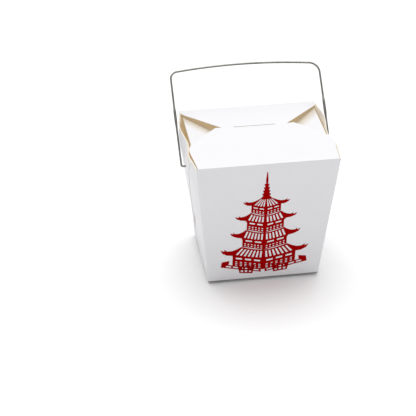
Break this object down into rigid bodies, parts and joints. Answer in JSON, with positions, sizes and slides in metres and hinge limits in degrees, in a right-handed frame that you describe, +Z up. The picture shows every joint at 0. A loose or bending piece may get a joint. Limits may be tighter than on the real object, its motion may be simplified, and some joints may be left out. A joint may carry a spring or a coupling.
{
  "type": "noodle takeaway box",
  "caption": "Shut folded-board noodle takeaway pail with flaring walls, folded side gussets, interlocked top flaps and a swinging wire handle.",
  "frame": {"origin": "middle of the flat base, on the surface it stands on", "axes": "+Z up, -Y out of the printed wide face, X across the wide faces, along the axis the handle turns on"},
  "size_m": [0.1191, 0.106, 0.1396],
  "materials": {
    "white_board": "smooth white clay-coated paperboard, satin",
    "galvanised_wire": "plain drawn galvanised steel wire"
  },
  "bodies": {
    "box": {"carton": "white_board"},
    "handle": {"wire_handle": "galvanised_wire"}
  },
  "joints": [
    {"name": "handle_swing", "type": "hinge", "parent": "box", "child": "handle", "pos_m": [0, 0, 0.0855], "axis": [1, 0, 0], "range_deg": [-98, 194]}
  ]
}
